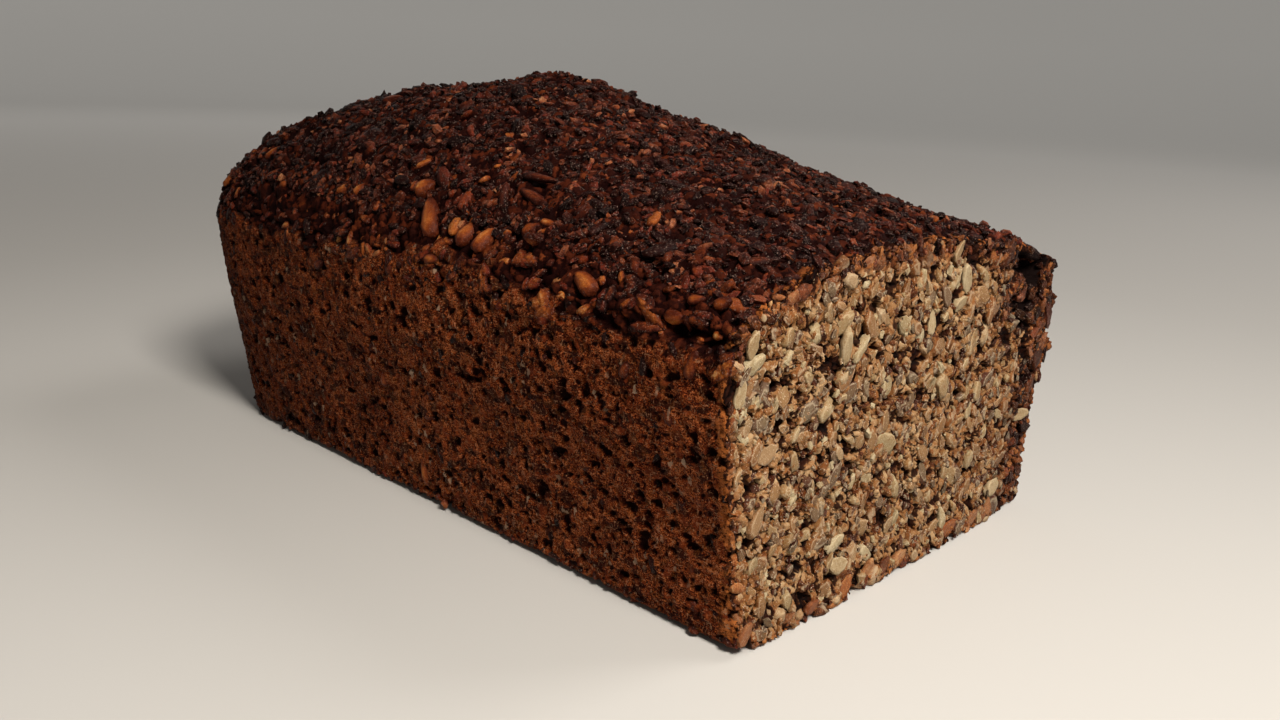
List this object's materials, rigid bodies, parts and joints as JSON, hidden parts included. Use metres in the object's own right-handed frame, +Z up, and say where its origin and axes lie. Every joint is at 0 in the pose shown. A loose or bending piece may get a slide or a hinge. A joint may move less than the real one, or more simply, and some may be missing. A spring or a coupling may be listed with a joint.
{
  "type": "black bread loaf",
  "caption": "Dense seeded rye loaf baked in a tin, with a domed dark crust and one end sliced off flat to show the crumb.",
  "frame": {"origin": "centre of the loaf's bounding box at the flat base it rests on", "axes": "+X along the loaf towards the cut face, +Y across it towards the back wall, +Z up"},
  "size_m": [0.2352, 0.1454, 0.1146],
  "materials": {
    "crust": null
  },
  "bodies": {
    "root": {"loaf": "crust"}
  },
  "joints": []
}
